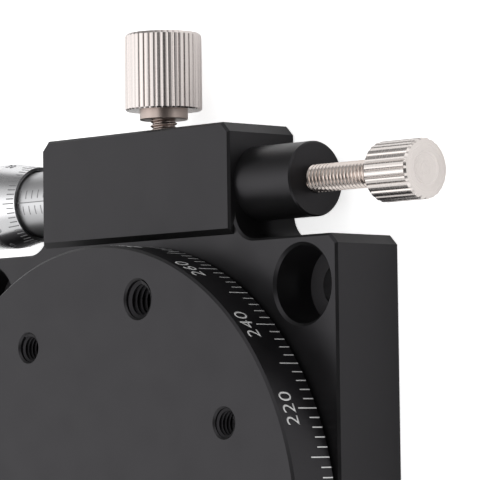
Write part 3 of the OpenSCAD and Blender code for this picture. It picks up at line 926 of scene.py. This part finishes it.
def buildKnob(name, s, radius, length):
    # stands on the origin along Z, with flutes cut by narrowing rows of points
    deselectAll()
    collar = s.get("collar", 0)
    foot = radius - s["heel"]
    first = s["collarRadius"] if collar else foot
    bpy.ops.mesh.primitive_circle_add(vertices=s["flutes"] * len(flute), radius=first,
                                      fill_type="NGON")
    knob = bpy.context.object
    startEdit(knob)
    pickAll()
    if collar:
        edge = s["collarEdge"]
        pull(0, 0, edge)
        pickVerts(lambda co: co.z < edge / 2)
        widen(1 - edge / first)
        pickFlat(edge)
        pull(0, 0, collar - edge)
        pull(0, 0, 0)
        widen(foot / first)
    pull(0, 0, s["heel"])
    widen(radius / foot)
    heel = collar + s["heel"]
    step = 2 * math.pi / s["flutes"] / len(flute)
    for phase, share in enumerate(flute):
        if share:
            pickRing(heel, step, len(flute), phase)
            widen(1 - s["depth"] * share / radius)
    pickFlat(heel)
    pull(0, 0, length - heel - s["rim"])
    pull(0, 0, s["rim"])
    # the end is a plain circle again, with a shallow turned dish in it
    for phase, share in enumerate(flute):
        pickRing(length, step, len(flute), phase)
        widen((radius - s["rim"]) / (radius - s["depth"] * share))
    pickFlat(length)
    for ratio, drop in dish:
        pull(0, 0, -drop * s["dimple"])
        widen(ratio)
    endEdit()
    cleanUp(knob, 1e-7)
    knob.name = name
    smooth(knob, 12)
    return knob


low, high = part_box("preload_knob")
knob = buildKnob("preloadKnob", preloadKnob, (high.y - low.y) / 2, high.x - low.x)
settle(knob, (0, 90, 0), (low.x, driveY, driveZ))
finishPiece(knob, "preload_turner", knobNickel, "preload_knob")

low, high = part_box("lock_knob")
knob = buildKnob("lockKnob", lockKnob, (high.x - low.x) / 2, high.y - low.y)
settle(knob, (-90, 0, 0), (0, low.y, driveZ))
finishPiece(knob, "lock_turner", lockNickel, "lock_knob")
knob.data.materials.append(shadedLockNickel)  # the collar is rougher, left as turned, and painted darker as shade from the drive block
for face in knob.data.polygons:
    if face.center.y < low.y + lockKnob["collar"] - 10 * tiny:
        face.material_index = 1
print("knobs ready")


# grip of the thimble
thimbleGrip = {
    "from": -41.1 * mm,
    "length": 9.6 * mm,
    "ridges": 60,
    "inner": 4.71 * mm,  # inside the thimble's wall
    "valley": 4.76 * mm,
    "crest": 4.88 * mm,
    "slope": 0.16 * mm,
}


def buildGrip(s):
    deselectAll()
    bpy.ops.mesh.primitive_circle_add(vertices=s["ridges"] * 2, radius=s["inner"],
                                      fill_type="NGON")
    grip = bpy.context.object
    startEdit(grip)
    pickAll()
    for up in (s["slope"], s["length"] - 2 * s["slope"], s["slope"]):
        pull(0, 0, up)
    for height in (s["slope"], s["length"] - s["slope"]):
        for phase, radius in enumerate((s["crest"], s["valley"])):
            pickRing(height, math.pi / s["ridges"], 2, phase)
            widen(radius / s["inner"])
    # the ends are opened and joined by a wall inside, so that the grip is a closed ring
    pickFaces(lambda centre, normal: abs(normal.z) > 0.99)
    bpy.ops.mesh.delete(type="ONLY_FACE")
    pickVerts(lambda co: co.z < tiny or co.z > s["length"] - tiny)
    bpy.ops.mesh.bridge_edge_loops()
    endEdit()
    cleanUp(grip, 1e-7)
    grip.name = "thimbleGrip"
    smooth(grip, 20)
    settle(grip, (0, 90, 0), (s["from"], driveY, driveZ))
    finishPiece(grip, "thimble", satinChrome)


buildGrip(thimbleGrip)
print("thimble grip ready")


# index line under the rim scale
indexLine = {
    "width": 0.16 * mm,
    "length": 2.4 * mm,
    "middle": 7.0 * mm,
}


def buildIndexLine(s):
    line = addLine(s["width"], s["length"])
    low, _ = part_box("base")
    settle(line, place=(0, low.y - lineProud + lineThick / 2, s["middle"]))
    line.name = "indexLine"
    finishPiece(line, "base", scaleWhite)


buildIndexLine(indexLine)
print("index line ready")


# plunger spring, in two halves, one towards the plunger and one towards the seat
plungerSpring = {
    "wire": 0.225 * mm,  # radius
    "sides": 8,
    "turns": 4,  # of each half
    "steps": 20,
}


def buildSpring(s):
    low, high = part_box("plunger_spring")
    middle = (low.x + high.x) / 2
    coil = (high.y - low.y) / 2 - s["wire"]
    pitch = (high.x - low.x - 2 * s["wire"]) / (2 * s["turns"])
    halves = (
        ("springFront", low.x + s["wire"], "plunger", low.x),
        ("springBack", middle, "seat", high.x),
    )
    for name, start, body, end in halves:
        deselectAll()
        bpy.ops.mesh.primitive_circle_add(vertices=s["sides"], radius=s["wire"])
        spring = bpy.context.object
        settle(spring, (90, 0, 0))
        settle(spring, place=(coil, 0, 0))
        windUp(spring, pitch, s["turns"], s["steps"])
        startEdit(spring)
        pickAll()
        bpy.ops.mesh.fill_holes(sides=s["sides"])
        endEdit()
        cleanUp(spring, 1e-7)
        spring.name = name
        smooth(spring, 50)
        settle(spring, (0, 90, 0), (start, driveY, driveZ))
        finishPiece(spring, None, groundSteel, "plunger_spring")
        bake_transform(spring)


buildSpring(plungerSpring)
print("plunger spring ready")


# micrometer scales
micScale = {
    "radius": 3.6 * mm,
    "zero": -16.0 * mm,
    "start": -15.03 * mm,  # of the long line
    "end": -24.6 * mm,
    "lineWidth": 0.11 * mm,
    "markWidth": 0.13 * mm,
    "markStep": 1 * mm,
    "wholeMarks": 9,
    "halfMarks": 8,  # on the line's other side, half a step further
    "gap": 6.3,  # degrees from the long line to the marks
    "mark": 15.5,
    "angle": -1.0,  # of the long line, from the top of the sleeve towards +Y
}
thimbleScale = {
    "edge": -20.4 * mm,
    "edgeRadius": 4.1 * mm,
    "bodyRadius": 4.75 * mm,
    "cone": 4.2 * mm,
    "lines": 50,
    "perLong": 5,
    "start": 0.10 * mm,
    "short": 1.10 * mm,
    "long": 1.62 * mm,
    "width": 0.13 * mm,
    "labelAt": 3.55 * mm,
    "labelHeight": 0.9 * mm,
    "labelWidth": 1.1 * mm,
    "oneNumeral": 0.45,  # width of a single numeral, against two
    "value": 40,  # what stands on the sleeve's long line
    "angle": -1.0,
}


def addArcMark(x, s, start):
    # a mark across the axis: a thin strip of face spun round the sleeve
    deselectAll()
    bpy.ops.mesh.primitive_plane_add(size=1)
    mark = bpy.context.object
    mark.scale = (s["markWidth"], lineThick, 1)
    settle(mark)
    settle(mark, (90, 0, 0))
    settle(mark, place=(x, 0, s["radius"] + lineProud - lineThick / 2))
    settle(mark, (-start, 0, 0))
    startEdit(mark)
    pickAll()
    bpy.ops.mesh.spin(steps=7, angle=math.radians(s["mark"]), center=(0, 0, 0), axis=(1, 0, 0))
    endEdit()
    cleanUp(mark, 1e-7)
    return mark


def addFlatLine(width, length):
    # along X, facing +Z
    line = addLine(width, length)
    settle(line, (0, 90, 0))
    settle(line, (-90, 0, 0))
    return line


def buildMicScale(s):
    line = addFlatLine(s["lineWidth"], s["start"] - s["end"])
    settle(line, place=((s["start"] + s["end"]) / 2, 0, s["radius"] + lineProud))
    settle(line, (-s["angle"], 0, 0))
    pieces = [line]
    near, far = s["angle"] + s["gap"], s["angle"] - s["gap"] - s["mark"]
    for start, shift, count in ((near, 0, s["wholeMarks"]), (far, 0.5, s["halfMarks"])):
        marks = addArcMark(s["zero"] - shift * s["markStep"], s, start)
        repeatPiece(marks, count, -s["markStep"])
        pieces.append(marks)
    scale = joinPieces(pieces, "sleeveScale")
    settle(scale, place=(0, driveY, driveZ))
    cleanUp(scale, 1e-7)
    finishPiece(scale, "base", scaleBlack)


def buildThimbleScale(s):
    slope = (s["bodyRadius"] - s["edgeRadius"]) / s["cone"]
    lean = math.degrees(math.atan(slope))
    pieces = []

    def lay(piece, far, turn):
        # piece lies flat with its middle on the origin, facing +Z
        settle(piece, (0, lean, 0))
        rise = s["edgeRadius"] + slope * far + lineProud
        settle(piece, place=(s["edge"] - far, 0, rise))
        settle(piece, (turn, 0, 0))
        pieces.append(piece)

    marks = {kind: addFlatLine(s["width"], s[kind]) for kind in ("short", "long")}
    for value in range(s["lines"]):
        kind = "short" if value % s["perLong"] else "long"
        turn = 360 / s["lines"] * (value - s["value"]) - s["angle"]
        lay(copyPiece(marks[kind]), s["start"] + s[kind] / 2, turn)
        if kind == "long":
            share = 1 if value > 9 else s["oneNumeral"]
            label = addLabel(str(value), s["labelHeight"], s["labelWidth"] * share)
            settle(label, (-90, 0, 0))
            lay(label, s["labelAt"], turn)
    for mark in marks.values():
        bpy.data.objects.remove(mark)
    scale = joinPieces(pieces, "thimbleScale")
    settle(scale, place=(0, driveY, driveZ))
    cleanUp(scale, 1e-7)
    finishPiece(scale, "thimble", scaleBlack)


buildMicScale(micScale)
buildThimbleScale(thimbleScale)
print("micrometer scales ready")
